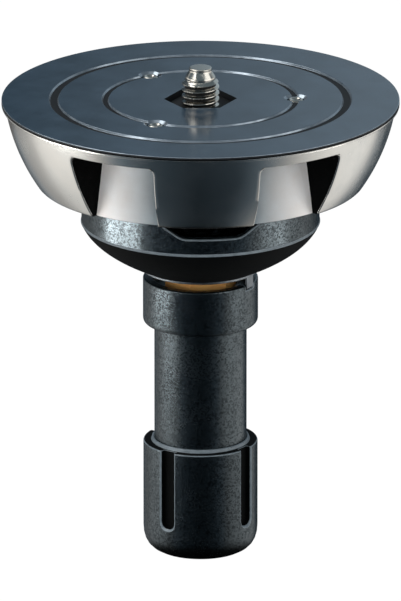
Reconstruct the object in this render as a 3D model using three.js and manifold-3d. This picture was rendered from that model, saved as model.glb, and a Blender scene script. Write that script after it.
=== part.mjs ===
// Tripod bowl adapter: an aluminium half ball that seats in a 100 mm tripod bowl, with a flat plate
// and a 3/8 inch stud on top for the camera head. A tie rod hangs from its hub. A long knob turns a
// brass nut on the rod, which pulls a cup up against the underside of the bowl and clamps it.
// Millimetres, +Z up, -Y to the front, origin at the centre of the ball's sphere.

import * as THREE from 'three';
import { mergeVertices } from 'three/addons/utils/BufferGeometryUtils.js';
import Module from 'manifold-3d';

const wasm = await Module();
wasm.setup();

// Clearances and small edges that every piece shares
const fitGap = 0.3;
const overrun = 1;
const softEdge = 0.3;
const chamfer = 0.8;

// Half ball: the sphere, its flange and lower rim
const ballRadius = 50;
const plateDropShare = 0.136;
const ballHeightShare = 0.43;
const flangeOverhang = 0.2;
const flangeThickness = 0.85;
const rimRounding = 0.5;

// Half ball: the hollow under its deck, with hub, ribs and screw bosses
const deckThickness = 5.8;
const hollowDraft = 1;
const hollowRounding = 2;
const hubRadius = 11;
const hubStandout = 2.5;
const ribCount = 3;
const ribTurn = 30;
const ribThickness = 3;
const ribShortfall = 2.5;
const bossRadius = 4.5;
const bossHeight = 4;

// Half ball: the four pockets in its side, in two pairs
const pocketAngles = [60, 120, 240, 300];
const pocketDrop = 4;
const pocketTopSpan = 28;
const pocketRimSpan = 26;
const pocketDepth = 1.42;
const pocketLean = 3.6;
const pocketWall = 3.6;
const pocketRounding = 2;

// Face plate, let into the top of the ball
const lipThickness = 0.55;
const lipRounding = 0.15;
const plateThickness = 3.2;
const spigotInset = 17;
const outerGrooveInset = 13;
const outerGrooveWidth = 2.4;
const innerGrooveWidth = 1.8;
const grooveDepth = 0.5;

// Head stud, 3/8 inch, with a hexagonal collar in the plate's hexagonal opening
const studRadius = 4.7625;
const studHeight = 8.3;
const studTipRadius = 2.85;
const studTipHeight = 0.8;
const studConeHeight = 1.65;
const studRootRadius = 3.85;
const studRootHeight = 0.55;
const studShank = 7;
const collarFlats = 15.4;
const collarSink = 1.4;

// Lock screws, which rise through the plate's inner groove to bite into the head
const screwInset = 8.6;
const lockScrewAngles = [0, 120, 240];
const lockScrewRadius = 2;
const lockScrewLength = 16;
const lockScrewSink = 0.3;
const lockScrewPoint = 0.7;
const lockSocketFlats = 2;
const lockSocketDepth = 2.5;

// Plate screws, which hold the plate to the deck from below
const plateScrewAngles = [60, 180, 300];
const plateScrewRadius = 2;
const plateScrewHeadRadius = 3.8;
const plateScrewHeadHeight = 2.4;
const plateScrewHeadRounding = 0.6;
const plateScrewReach = 1.9;
const plateSocketFlats = 2.5;
const plateSocketDepth = 1.4;

// Tie rod, with the nut and washer that lock it in the hub and the stop at its lower end
const rodRadius = 5;
const rodClearance = 1.8;
const rodTail = 3;
const lockWasherRadius = 9;
const lockWasherThickness = 1.8;
const nutFlats = 16;
const lockNutHeight = 5;
const stopStandout = 1.4;
const stopThickness = 1.6;
const stopPinRadius = 1.5;

// Clamp cup
const cupTravel = 24;
const cupGap = 0.3;
const bandRadius = 30.1;
const bandHeight = 10.6;
const bowlDepth = 11.6;
const bowlShares = [[0.6, 0.38], [0.95, 0.69]];
const cupFootOverhang = 0.33;
const cupWall = 2.6;
const cupFloor = 2.8;
const cupBossRadius = 9.2;
const cupBossHeight = 10.5;
const cupRibCount = 6;
const cupRibThickness = 2;
const cupTurn = 3.3;
const notchCount = 3;
const notchTurn = 30;
const notchDepth = 6;
const notchTopWidth = 33;
const notchFloorWidth = 15;
const notchRounding = 1.5;

// Thrust washer, whose tang keys it to the knob
const washerThickness = 0.6;
const neckGap = 2.2;
const tangAngle = 328;
const tangWidth = 3.2;
const tangReach = 0.9;
const tangInset = 0.1;

// Knob: brass nut, collar and shaft
const nutLength = 12.6;
const nutTurn = 12.4;
const collarHeight = 12;
const collarTopRounding = 0.6;
const collarFootRounding = 1.3;
const wellClearance = 3.16;
const wellDepth = 2.5;
const collarWall = 2.17;
const shaftWall = 4.7;
const shaftLength = 31.4;
const shaftClearance = 0.6;

// Knob: grip sleeve pressed on the shaft's spigot, and the plug in its end
const gripStandout = 2.8;
const gripLength = 29.2;
const gripTopRounding = 1;
const gripEndRounding = 6.4;
const shaftSpigotInset = 1.3;
const shaftSpigotLength = 21.5;
const slotCount = 4;
const slotTurn = 52;
const slotWidth = 3.8;
const slotDepth = 1.6;
const slotLength = 20.5;
const plugRadius = 7.4;
const plugThickness = 1.5;
const plugStem = 4;

// Heights of the seats, worked out from the sizes above
const plateTop = -plateDropShare * ballRadius;
const flangeTop = plateTop - lipThickness;
const flangeBottom = flangeTop - flangeThickness;
const deckTop = plateTop - plateThickness;
const deckBottom = deckTop - deckThickness;
const ballBottom = plateTop - ballHeightShare * ballRadius;
const hubBottom = ballBottom - hubStandout;
const lockNutTop = hubBottom - lockWasherThickness;
const cupTop = ballBottom - cupGap;
const cupBottom = cupTop - bandHeight - bowlDepth;
const washerBottom = cupBottom - washerThickness;
const knobTop = washerBottom - neckGap;
const nutBottom = washerBottom - nutLength;
const gripTop = knobTop - collarHeight - shaftLength;
const rodTop = deckTop - studShank - rodClearance;
const stopTop = nutBottom - cupTravel - fitGap;
const stopPinHeight = stopTop - stopThickness - fitGap - stopPinRadius;
const rodBottom = stopPinHeight - stopPinRadius - rodTail;

// Radii that follow from the ball's, from its lower rim inwards
const rimRadius = Math.sqrt(ballRadius ** 2 - ballBottom ** 2);
const pocketRimFloor = rimRadius - pocketDepth;
const pocketTopFloor = pocketRimFloor - pocketLean;
const hollowRadius = pocketTopFloor - pocketWall;
const screwCircle = hollowRadius - screwInset;
const spigotRadius = ballRadius - spigotInset;
const outerGroove = ballRadius - outerGrooveInset;
const rodBore = rodRadius + fitGap;

// Radii of the knob and the cup's foot, which follow from the rod's stop and from the nut
const hexagon = 6;
const nutReach = nutFlats / 2 / Math.cos(Math.PI / hexagon);
const wellRadius = nutReach + wellClearance;
const collarRadius = wellRadius + collarWall;
const cupFootRadius = collarRadius + cupFootOverhang;
const stopRadius = rodRadius + stopStandout;
const shaftBore = stopRadius + shaftClearance;
const shaftRadius = shaftBore + shaftWall;
const shaftSpigotRadius = shaftRadius - shaftSpigotInset;
const gripRadius = shaftRadius + gripStandout;

const ballSides = 72;
const cupSides = 54;
const knobSides = 36;
const nutSides = 24;
const screwSides = 16;
const sphereSteps = 6;
const bowlSteps = 6;
const stepLength = 0.9;
const degrees = Math.PI / 180;
const fullTurn = 360;

const aluminium = new THREE.MeshStandardMaterial({ color: 0xc6c4bf, roughness: 0.25, metalness: 1 });
const slate = new THREE.MeshStandardMaterial({ color: 0x59646e, roughness: 0.45, metalness: 0.2 });
const nickel = new THREE.MeshStandardMaterial({ color: 0xd6d2ca, roughness: 0.2, metalness: 1 });
const steel = new THREE.MeshStandardMaterial({ color: 0x9ea0a2, roughness: 0.35, metalness: 1 });
const brass = new THREE.MeshStandardMaterial({ color: 0xc79a45, roughness: 0.3, metalness: 1 });
const nylon = new THREE.MeshStandardMaterial({ color: 0x1c2023, roughness: 0.6, metalness: 0 });

// Welds a geometry's shared corners and drops its flat triangles, which leaves one closed solid.
function solid(geometry) {
  if (!geometry.isBufferGeometry) return geometry;
  geometry.deleteAttribute('normal');
  geometry.deleteAttribute('uv');
  const welded = mergeVertices(geometry);
  const triangles = [];
  for (let i = 0; i < welded.index.count; i += 3) {
    const corners = [0, 1, 2].map((k) => welded.index.getX(i + k));
    if (new Set(corners).size === corners.length) triangles.push(...corners);
  }
  return new wasm.Manifold(new wasm.Mesh({
    numProp: 3,
    vertProperties: welded.attributes.position.array,
    triVerts: Uint32Array.from(triangles),
  }));
}

// The points of a closed outline through corners, each given as [across, up, rounding].
function outline(corners) {
  return corners.flatMap(([across, up, rounding = 0], i) => {
    const corner = new THREE.Vector2(across, up);
    if (rounding === 0) return [corner];
    const towards = (other) => new THREE.Vector2(...other).sub(corner).setLength(rounding).add(corner);
    const from = towards(corners.at(i - 1));
    const to = towards(corners[(i + 1) % corners.length]);
    const curve = new THREE.QuadraticBezierCurve(from, corner, to);
    return curve.getPoints(Math.ceil(rounding / stepLength));
  });
}

// A body of revolution about Z, from an outline in radius and height.
function revolve(corners, sides) {
  const points = outline(corners);
  if (THREE.ShapeUtils.area(points) < 0) points.reverse();
  return new THREE.LatheGeometry([...points, points[0]], sides).rotateX(Math.PI / 2);
}

// A straight prism along Z, from an outline in X and Y.
function prism(corners, bottom, top) {
  const settings = { depth: top - bottom, bevelEnabled: false };
  return new THREE.ExtrudeGeometry(new THREE.Shape(outline(corners)), settings).translate(0, 0, bottom);
}

function hexCorners(flats, turn = 0) {
  const reach = flats / 2 / Math.cos(Math.PI / hexagon);
  return Array.from({ length: hexagon }, (_, i) => {
    const angle = turn * degrees + (i * 2 * Math.PI) / hexagon;
    return [reach * Math.cos(angle), reach * Math.sin(angle)];
  });
}

// A round bar along Z, turned at both ends where a chamfer is given.
function bar(radius, bottom, top, sides, ends = 0) {
  return revolve([
    [0, bottom], [radius - ends, bottom], [radius, bottom + ends],
    [radius, top - ends], [radius - ends, top], [0, top],
  ], sides);
}

// A hexagonal nut blank with chamfered corners and a round hole.
function nutBlank(flats, bottom, top, bore, turn = 0) {
  const reach = flats / 2 / Math.cos(Math.PI / hexagon);
  const turned = bar(reach, bottom, top, nutSides, reach - flats / 2);
  const blank = solid(prism(hexCorners(flats, turn), bottom, top)).intersect(solid(turned));
  return cut(blank, [bar(bore, bottom - overrun, top + overrun, nutSides)]);
}

// A block that runs outwards along X, even on both sides of it.
function block(inner, outer, width, bottom, top) {
  const geometry = new THREE.BoxGeometry(outer - inner, width, top - bottom);
  return geometry.translate((inner + outer) / 2, 0, (bottom + top) / 2);
}

function ring(outer, inner, bottom, top, sides) {
  return revolve([[inner, bottom], [outer, bottom], [outer, top], [inner, top]], sides);
}

// Copies of one body, moved out from the axis and turned about it.
function around(geometry, angles, distance = 0) {
  return angles.map((angle) => geometry.clone().translate(distance, 0, 0).rotateZ(angle * degrees));
}

function evenly(count, start = 0) {
  return Array.from({ length: count }, (_, i) => start + (i * fullTurn) / count);
}

function join(body, others) {
  return others.reduce((whole, other) => whole.add(solid(other)), solid(body));
}

function cut(body, others) {
  return others.reduce((whole, other) => whole.subtract(solid(other)), solid(body));
}

// A cutter whose outline is drawn in a tangent plane and runs outwards along X. Flared, its sides
// follow the radii of the ball.
function sideCutter(corners, inner, outer, flared = false) {
  const settings = { depth: outer - inner, bevelEnabled: false };
  const geometry = new THREE.ExtrudeGeometry(new THREE.Shape(outline(corners)), settings);
  geometry.rotateX(Math.PI / 2).rotateZ(Math.PI / 2).translate(inner, 0, 0);
  const { position } = geometry.attributes;
  for (let i = 0; flared && i < position.count; i += 1) {
    position.setY(i, (position.getY(i) * position.getX(i)) / outer);
  }
  return geometry;
}

// Aluminium casting: a zone of the sphere under a thin flange, hollow below its deck, with a hub
// for the stud and the tie rod, ribs, and bosses for the lock screws.
function halfBall() {
  const flangeRadius = ballRadius + flangeOverhang;
  const sphereZone = Array.from({ length: sphereSteps + 1 }, (_, i) => {
    const height = ballBottom + rimRounding + ((flangeBottom - ballBottom - rimRounding) * i) / sphereSteps;
    return [Math.sqrt(ballRadius ** 2 - height ** 2), height];
  });
  const body = revolve([
    [rodBore, hubBottom],
    [hubRadius, hubBottom, softEdge],
    [hubRadius, deckBottom, hollowRounding],
    [hollowRadius, deckBottom, hollowRounding],
    [hollowRadius + hollowDraft, ballBottom, softEdge],
    [sphereZone[0][0] - rimRounding, ballBottom],
    ...sphereZone,
    [flangeRadius, flangeBottom, softEdge],
    [flangeRadius, flangeTop],
    [spigotRadius + fitGap, flangeTop],
    [spigotRadius + fitGap, deckTop],
    [rodBore, deckTop],
  ], ballSides);

  const wallMiddle = (hollowRadius + pocketTopFloor) / 2;
  const rib = block(
    hubRadius - overrun,
    wallMiddle,
    ribThickness,
    ballBottom + ribShortfall,
    deckBottom + overrun,
  );
  const ribs = around(rib, evenly(ribCount, ribTurn));
  const boss = bar(bossRadius, deckBottom - bossHeight, deckBottom + overrun, screwSides);
  const bosses = around(boss, lockScrewAngles, screwCircle);

  const lockHole = bar(lockScrewRadius + fitGap, ballBottom, deckTop + overrun, screwSides);
  const plateHole = bar(plateScrewRadius + fitGap, ballBottom, deckTop + overrun, screwSides);
  return cut(join(body, [...ribs, ...bosses]), [
    ...pockets(),
    ...around(lockHole, lockScrewAngles, screwCircle),
    ...around(plateHole, plateScrewAngles, screwCircle),
  ]);
}

// Pockets with radial sides and a floor that is a cone about the axis.
function pockets() {
  const reach = ballRadius + overrun;
  const topHeight = plateTop - pocketDrop;
  const foot = ballBottom - overrun;
  const topHalf = reach * Math.tan((pocketTopSpan * degrees) / 2);
  const rimHalf = reach * Math.tan((pocketRimSpan * degrees) / 2);
  const wedge = sideCutter([
    [-rimHalf, foot],
    [rimHalf, foot],
    [topHalf, topHeight, pocketRounding],
    [-topHalf, topHeight, pocketRounding],
  ], hollowRadius, reach, true);
  const slope = (pocketRimFloor - pocketTopFloor) / (topHeight - ballBottom);
  const floor = revolve([
    [0, foot - overrun],
    [pocketRimFloor + slope * 2 * overrun, foot - overrun],
    [pocketTopFloor - slope * overrun, topHeight + overrun],
    [0, topHeight + overrun],
  ], ballSides);
  return around(wedge, pocketAngles).map((cutter) => cut(cutter, [floor]));
}

// Dark plate: a disc with a thin lip over the flange, two turned grooves, a hexagonal opening that
// keys the stud, holes for the lock screws and blind holes for the plate screws.
function facePlate() {
  const radius = ballRadius + flangeOverhang;
  const groove = (middle, width) => [
    [middle + width / 2, 0],
    [middle + width / 4, -grooveDepth],
    [middle - width / 4, -grooveDepth],
    [middle - width / 2, 0],
  ];
  const disc = revolve([
    [0, -plateThickness],
    [spigotRadius, -plateThickness],
    [spigotRadius, -lipThickness],
    [radius, -lipThickness],
    [radius, 0, lipRounding],
    ...groove(outerGroove, outerGrooveWidth),
    ...groove(screwCircle, innerGrooveWidth),
    [0, 0],
  ], ballSides);
  const opening = prism(hexCorners(collarFlats + 2 * fitGap), -plateThickness - overrun, overrun);
  const lockHole = bar(lockScrewRadius + fitGap, -plateThickness - overrun, overrun, screwSides);
  const blindTop = plateScrewReach + fitGap - plateThickness;
  const blindHole = bar(plateScrewRadius + fitGap, -plateThickness - overrun, blindTop, screwSides);
  return cut(disc, [
    opening,
    ...around(lockHole, lockScrewAngles, screwCircle),
    ...around(blindHole, plateScrewAngles, screwCircle),
  ]);
}

// Stud with a narrow tip, a cone, a plain neck above the thread, a hexagonal collar and a shank into
// the hub. Its own zero is the plate's top.
function headStud() {
  const seat = -plateThickness;
  const coneTop = studHeight - studTipHeight;
  const coneFoot = coneTop - studConeHeight;
  const neckFoot = coneFoot - studRootHeight;
  const shank = revolve([
    [0, seat - studShank],
    [studRadius - chamfer, seat - studShank],
    [studRadius, seat - studShank + chamfer],
    [studRadius, neckFoot - (studRadius - studRootRadius)],
    [studRootRadius, neckFoot],
    [studRootRadius, coneFoot],
    [studTipRadius, coneTop],
    [studTipRadius, studHeight, softEdge],
    [0, studHeight],
  ], nutSides);
  const collar = prism(hexCorners(collarFlats), seat, -collarSink);
  return join(shank, [collar]);
}

// Set screw: pointed on top, with a hexagonal socket at its foot. Its own zero is its top.
function lockScrew() {
  const body = revolve([
    [0, -lockScrewLength],
    [lockScrewRadius, -lockScrewLength, softEdge],
    [lockScrewRadius, -lockScrewPoint],
    [lockScrewRadius - lockScrewPoint, 0],
    [0, 0],
  ], screwSides);
  const socketTop = lockSocketDepth - lockScrewLength;
  return cut(body, [prism(hexCorners(lockSocketFlats), -lockScrewLength - overrun, socketTop)]);
}

// Cap screw whose head bears on the deck from below. Its own zero is the underside of the deck.
function plateScrew() {
  const shank = bar(plateScrewRadius, -overrun, deckThickness + plateScrewReach, screwSides);
  const head = revolve([
    [0, -plateScrewHeadHeight],
    [plateScrewHeadRadius, -plateScrewHeadHeight, plateScrewHeadRounding],
    [plateScrewHeadRadius, 0],
    [0, 0],
  ], screwSides);
  const socketTop = plateSocketDepth - plateScrewHeadHeight;
  const socket = prism(hexCorners(plateSocketFlats), -plateScrewHeadHeight - overrun, socketTop);
  return cut(join(head, [shank]), [socket]);
}

// Tie rod, cross-drilled near its lower end for the stop pin. Its own zero is its top.
function tieRod() {
  const body = bar(rodRadius, rodBottom - rodTop, 0, nutSides, chamfer);
  return cut(body, [stopPinBar(stopPinRadius + fitGap, rodRadius + overrun, stopPinHeight - rodTop)]);
}

function stopPinBar(radius, halfLength, height) {
  const geometry = new THREE.CylinderGeometry(radius, radius, 2 * halfLength, screwSides / 2);
  return geometry.rotateZ(Math.PI / 2).translate(0, 0, height);
}

// Moulded cup: a straight band over a bowl that narrows to a flat foot. Inside, a boss guides it on
// the rod and ribs stiffen it, and its rim has shallow notches. Its own zero is the rim's top.
function clampCup() {
  const ridge = -bandHeight;
  const foot = ridge - bowlDepth;
  const bowlCurve = (wide, top, bottom, narrow) => new THREE.CubicBezierCurve(
    new THREE.Vector2(narrow, bottom),
    ...bowlShares.map(([across, up]) => new THREE.Vector2(
      narrow + across * (wide - narrow),
      bottom + up * (top - bottom),
    )),
    new THREE.Vector2(wide, top),
  ).getPoints(bowlSteps).map(({ x, y }) => [x, y]);
  const outside = [
    ...bowlCurve(bandRadius, ridge, foot, cupFootRadius),
    [bandRadius, 0, softEdge],
  ];
  const innerFoot = cupFootRadius - cupWall;
  const shell = revolve([
    [rodBore, foot],
    ...outside,
    [bandRadius - cupWall, 0, softEdge],
    ...bowlCurve(bandRadius - cupWall, ridge, foot + cupFloor, innerFoot).reverse(),
    [cupBossRadius, foot + cupFloor],
    [cupBossRadius, foot + cupBossHeight, softEdge],
    [rodBore, foot + cupBossHeight],
  ], cupSides);

  const ribTop = foot + cupBossHeight - softEdge;
  const rib = block(cupBossRadius - overrun, bandRadius, cupRibThickness, foot, ribTop);
  const envelope = revolve([[0, foot], ...outside, [0, 0]], cupSides);
  const ribs = around(rib, evenly(cupRibCount))
    .map((body) => solid(body).intersect(solid(envelope)));
  const notch = sideCutter([
    [-notchFloorWidth / 2, -notchDepth, notchRounding],
    [notchFloorWidth / 2, -notchDepth, notchRounding],
    [notchTopWidth / 2, 0],
    [notchTopWidth / 2, overrun],
    [-notchTopWidth / 2, overrun],
    [-notchTopWidth / 2, 0],
  ], cupFootRadius, bandRadius + overrun);
  return cut(join(shell, ribs), around(notch, evenly(notchCount, notchTurn)));
}

// Flat washer with one tang bent down into the knob's rim. Its own zero is its top.
function thrustWasher() {
  const outer = collarRadius - tangInset;
  const foot = -washerThickness - neckGap - tangReach;
  const tang = block(outer - washerThickness, outer, tangWidth, foot, -washerThickness / 2);
  const disc = ring(cupFootRadius, rodBore, -washerThickness, 0, cupSides);
  return join(disc, around(tang, [tangAngle]));
}

// Knob moulding: a collar with a well and a hexagonal seat for the nut, a plain shaft, and a
// spigot for the grip. Its own zero is the top of the collar.
function knobBody() {
  const shaftFoot = -collarHeight - shaftLength;
  const body = revolve([
    [shaftBore, shaftFoot - shaftSpigotLength],
    [shaftSpigotRadius, shaftFoot - shaftSpigotLength, softEdge],
    [shaftSpigotRadius, shaftFoot],
    [shaftRadius, shaftFoot],
    [shaftRadius, -collarHeight, softEdge],
    [collarRadius, -collarHeight, collarFootRounding],
    [collarRadius, 0, collarTopRounding],
    [wellRadius, 0, softEdge],
    [wellRadius, -wellDepth],
    [shaftBore, -wellDepth],
  ], knobSides);
  const seat = prism(hexCorners(nutFlats + 2 * fitGap, nutTurn), neckGap - nutLength, overrun);
  const keyway = block(
    wellRadius - overrun,
    collarRadius + overrun,
    tangWidth + 2 * fitGap,
    -tangReach - fitGap,
    overrun,
  );
  return cut(body, [seat, ...around(keyway, [tangAngle])]);
}

// Grip sleeve: rounded end, four long slots open at the top. Its own zero is its top.
function gripSleeve() {
  const boreFloor = -shaftSpigotLength - fitGap;
  const plugSeat = plugThickness - gripLength;
  const endHole = stopRadius + fitGap;
  const body = revolve([
    [plugRadius + fitGap, -gripLength],
    [gripRadius, -gripLength, gripEndRounding],
    [gripRadius, 0, gripTopRounding],
    [shaftSpigotRadius + fitGap, 0],
    [shaftSpigotRadius + fitGap, boreFloor],
    [endHole, boreFloor],
    [endHole, plugSeat],
    [plugRadius + fitGap, plugSeat],
  ], knobSides);
  const slotFoot = -slotLength;
  const slot = sideCutter([
    [-slotWidth / 2, overrun],
    [-slotWidth / 2, slotFoot, slotWidth / 2],
    [slotWidth / 2, slotFoot, slotWidth / 2],
    [slotWidth / 2, overrun],
  ], gripRadius - slotDepth, gripRadius + overrun);
  return cut(body, around(slot, evenly(slotCount, slotTurn)));
}

// Plug that closes the grip's end. Its own zero is the step that it seats on.
function endPlug() {
  return revolve([
    [0, -plugThickness],
    [plugRadius, -plugThickness, softEdge],
    [plugRadius, 0],
    [stopRadius, 0],
    [stopRadius, plugStem, softEdge],
    [0, plugStem],
  ], nutSides);
}

function piece(name, body, material, height, angle = 0, distance = 0) {
  const { vertProperties, triVerts } = solid(body).getMesh();
  const geometry = new THREE.BufferGeometry();
  geometry.setAttribute('position', new THREE.BufferAttribute(vertProperties, 3));
  geometry.setIndex(new THREE.BufferAttribute(triVerts, 1));
  geometry.computeVertexNormals();
  const mesh = new THREE.Mesh(geometry, material);
  mesh.name = name;
  mesh.rotation.z = angle * degrees;
  mesh.position.set(distance * Math.cos(angle * degrees), distance * Math.sin(angle * degrees), height);
  return mesh;
}

// The ball and everything that is fixed to it
const fixed = new THREE.Group();
fixed.add(
  piece('half_ball', halfBall(), aluminium, 0),
  piece('face_plate', facePlate(), slate, plateTop),
  piece('head_stud', headStud(), nickel, plateTop),
  piece('tie_rod', tieRod(), steel, rodTop),
  piece('rod_lock_washer', ring(lockWasherRadius, rodBore, lockNutTop, hubBottom, nutSides), steel, 0),
  piece('rod_lock_nut', nutBlank(nutFlats, -lockNutHeight, 0, rodBore), steel, lockNutTop),
  piece('rod_stop_washer', ring(stopRadius, rodBore, -stopThickness, 0, nutSides), steel, stopTop),
  piece('rod_stop_pin', stopPinBar(stopPinRadius, stopRadius - fitGap, 0), steel, stopPinHeight),
);
plateScrewAngles.forEach((angle, i) => {
  fixed.add(piece(`plate_screw_${i + 1}`, plateScrew(), steel, deckBottom, angle, screwCircle));
});

// The lock screws, each raised or lowered by itself
const locks = new THREE.Group();
const lockScrewTop = plateTop - lockScrewSink;
lockScrewAngles.forEach((angle, i) => {
  locks.add(piece(`lock_screw_${i + 1}`, lockScrew(), nickel, lockScrewTop, angle, screwCircle));
});

// The cup, which slides on the rod
const clamp = new THREE.Group();
clamp.add(piece('clamp_cup', clampCup(), nylon, cupTop, cupTurn));

// The knob, which turns under the cup and travels with it
const knob = new THREE.Group();
knob.add(
  piece('thrust_washer', thrustWasher(), steel, cupBottom),
  piece('brass_nut', nutBlank(nutFlats, -nutLength, 0, rodBore, nutTurn), brass, washerBottom),
  piece('knob_body', knobBody(), nylon, knobTop),
  piece('grip_sleeve', gripSleeve(), nylon, gripTop),
  piece('end_plug', endPlug(), nylon, gripTop + plugThickness - gripLength),
);

const adapter = new THREE.Group();
adapter.add(fixed, locks, clamp, knob);

export default adapter;
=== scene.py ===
import math

import bmesh
import bpy
from mathutils import Matrix, Vector


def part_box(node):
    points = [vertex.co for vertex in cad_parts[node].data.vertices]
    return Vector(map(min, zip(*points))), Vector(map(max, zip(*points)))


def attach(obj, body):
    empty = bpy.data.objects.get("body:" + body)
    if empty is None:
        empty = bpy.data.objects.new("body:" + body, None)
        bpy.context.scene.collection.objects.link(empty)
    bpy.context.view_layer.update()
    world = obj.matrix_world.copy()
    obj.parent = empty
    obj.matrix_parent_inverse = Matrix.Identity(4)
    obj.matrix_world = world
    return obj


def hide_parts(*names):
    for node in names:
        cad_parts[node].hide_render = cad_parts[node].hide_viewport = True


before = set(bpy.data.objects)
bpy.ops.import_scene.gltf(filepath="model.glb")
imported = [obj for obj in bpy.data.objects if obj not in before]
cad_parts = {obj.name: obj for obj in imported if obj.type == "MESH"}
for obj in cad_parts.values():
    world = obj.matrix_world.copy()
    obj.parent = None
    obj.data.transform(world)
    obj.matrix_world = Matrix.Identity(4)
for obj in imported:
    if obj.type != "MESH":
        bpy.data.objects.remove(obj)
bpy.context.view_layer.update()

# Half ball. An aluminium casting whose outside is turned to a sphere that seats in the tripod's
# bowl, under a thin flange. Below its deck it is left as cast, with a hub for the stud and the tie
# rod, three ribs, three bosses for the lock screws and four pockets milled in from its side.
MM = 0.001


def rounded(corners, points=7):
    """Points of a closed outline through corners of (across, up, rounding), in mm."""
    path = []
    for i, (across, up, *rounding) in enumerate(corners):
        corner = Vector((across, up))
        if not rounding:
            path.append(corner)
            continue
        sides = [Vector(corners[(i + step) % len(corners)][:2]) - corner for step in (-1, 1)]
        start, end = (corner + side.normalized() * rounding[0] for side in sides)
        for k in range(points + 1):
            t = k / points
            path.append(start * (1 - t) ** 2 + corner * 2 * t * (1 - t) + end * t * t)
    return path


def piece_from(name, mesh):
    """An object from a bmesh in mm, with its faces turned outwards."""
    bmesh.ops.recalc_face_normals(mesh, faces=mesh.faces)
    mesh.transform(Matrix.Scale(MM, 4))
    data = bpy.data.meshes.new(name)
    mesh.to_mesh(data)
    mesh.free()
    made = bpy.data.objects.new(name, data)
    bpy.context.scene.collection.objects.link(made)
    return made


def turned(name, corners, sides=240, height=0):
    """A body turned about Z from a closed outline of radius and height."""
    mesh = bmesh.new()
    rings = []
    for radius, up in rounded(corners):
        count = sides if radius > 0 else 1
        angles = [math.tau * i / sides for i in range(count)]
        rings.append([
            mesh.verts.new((radius * math.cos(a), radius * math.sin(a), up + height)) for a in angles
        ])
    for low, high in zip(rings, rings[1:] + rings[:1]):
        for i in range(sides):
            loop = [low[i % len(low)], low[(i + 1) % len(low)]]
            loop += [high[(i + 1) % len(high)], high[i % len(high)]]
            loop = list(dict.fromkeys(loop))
            if len(loop) > 2:
                mesh.faces.new(loop)
    return piece_from(name, mesh)


def sideways(name, corners, inner, outer, flared=False, outer_corners=None):
    """A tool whose outline faces outwards along X, from one radius to another."""
    mesh = bmesh.new()
    ends = []
    for out, outline in ((inner, corners), (outer, outer_corners or corners)):
        spread = out / outer if flared else 1
        ends.append([mesh.verts.new((out, across * spread, up)) for across, up in rounded(outline)])
    mesh.faces.new(ends[0])
    mesh.faces.new(ends[1])
    for i in range(len(ends[0])):
        mesh.faces.new((ends[0][i - 1], ends[0][i], ends[1][i], ends[1][i - 1]))
    return piece_from(name, mesh)


def block(name, inner, outer, width, bottom, top):
    """A square block that runs outwards along X."""
    half = width / 2
    return sideways(name, [(-half, bottom), (half, bottom), (half, top), (-half, top)], inner, outer)


def around(tool, angles, distance=0):
    """One object that holds a copy of a tool at each angle, moved out from the axis."""
    mesh = bmesh.new()
    for angle in angles:
        copy = tool.data.copy()
        copy.transform(Matrix.Translation((distance * MM, 0, 0)))
        copy.transform(Matrix.Rotation(math.radians(angle), 4, "Z"))
        mesh.from_mesh(copy)
        bpy.data.meshes.remove(copy)
    mesh.to_mesh(tool.data)
    mesh.free()
    return tool


def baked(piece):
    """Bakes a piece's modifiers into its mesh."""
    graph = bpy.context.evaluated_depsgraph_get()
    made = bpy.data.meshes.new_from_object(piece.evaluated_get(graph))
    piece.modifiers.clear()
    piece.data = made
    return piece


def combined(piece, operation, *others):
    """Joins pieces, cuts tools out of one, or keeps what two share."""
    for other in others:
        step = piece.modifiers.new(operation, "BOOLEAN")
        step.operation = operation
        step.solver = "MANIFOLD"
        step.object = other
        baked(piece)
        bpy.data.objects.remove(other)
    return piece


def welded(piece, gap):
    """Joins the corners that lie closer together than a gap in mm."""
    weld = piece.modifiers.new("short edges", "WELD")
    weld.merge_threshold = gap * MM
    return piece


# Corners nearer than these, in mm, are joined before and after the edges are rounded.
bevel_gap, least_gap = 0.05, 0.001


def edged(piece, width, sharp=32, segments=3, own_finish=False):
    """Rounds a piece's edges, which may get a finish of their own, and smooths its faces."""
    if own_finish:
        for _ in range(2):
            piece.data.materials.append(None)
    if width:
        welded(piece, bevel_gap)
        bevel = piece.modifiers.new("edges", "BEVEL")
        bevel.material = 1 if own_finish else -1
        bevel.width = width * MM
        bevel.segments = segments
        bevel.limit_method = "ANGLE"
        bevel.angle_limit = math.radians(sharp)
        bevel.use_clamp_overlap = False
    baked(welded(piece, least_gap))
    piece.data.shade_smooth()
    piece.data.set_sharp_from_angle(angle=math.radians(sharp))
    weigh = piece.modifiers.new("normals", "WEIGHTED_NORMAL")
    weigh.keep_sharp = True
    weigh.weight = 80
    return baked(piece)


def evenly(count, start=0):
    """Angles that share out a circle."""
    return [start + 360 * i / count for i in range(count)]


def linear(hex_colour):
    """An sRGB hex colour as linear RGBA."""
    channels = [int(hex_colour[i:i + 2], 16) / 255 for i in (1, 3, 5)]
    return [c / 12.92 if c <= 0.04045 else ((c + 0.055) / 1.055) ** 2.4 for c in channels] + [1]


def add(tree, kind, inputs=None, **settings):
    """Adds a node with its settings. An input takes a value or the socket that feeds it."""
    made = tree.nodes.new(kind)
    for name, value in settings.items():
        setattr(made, name, value)
    for name, value in (inputs or {}).items():
        if isinstance(value, bpy.types.NodeSocket):
            tree.links.new(value, made.inputs[name])
        else:
            made.inputs[name].default_value = value
    return made


def surface(name, colour, **values):
    """A material with one shader, its node tree and that shader."""
    made = bpy.data.materials.new(name)
    made.use_nodes = True
    tree = made.node_tree
    shader = tree.nodes["Principled BSDF"]
    shader.inputs["Base Color"].default_value = linear(colour)
    for socket, value in values.items():
        shader.inputs[socket.replace("_", " ")].default_value = value
    return made, tree, shader


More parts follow.
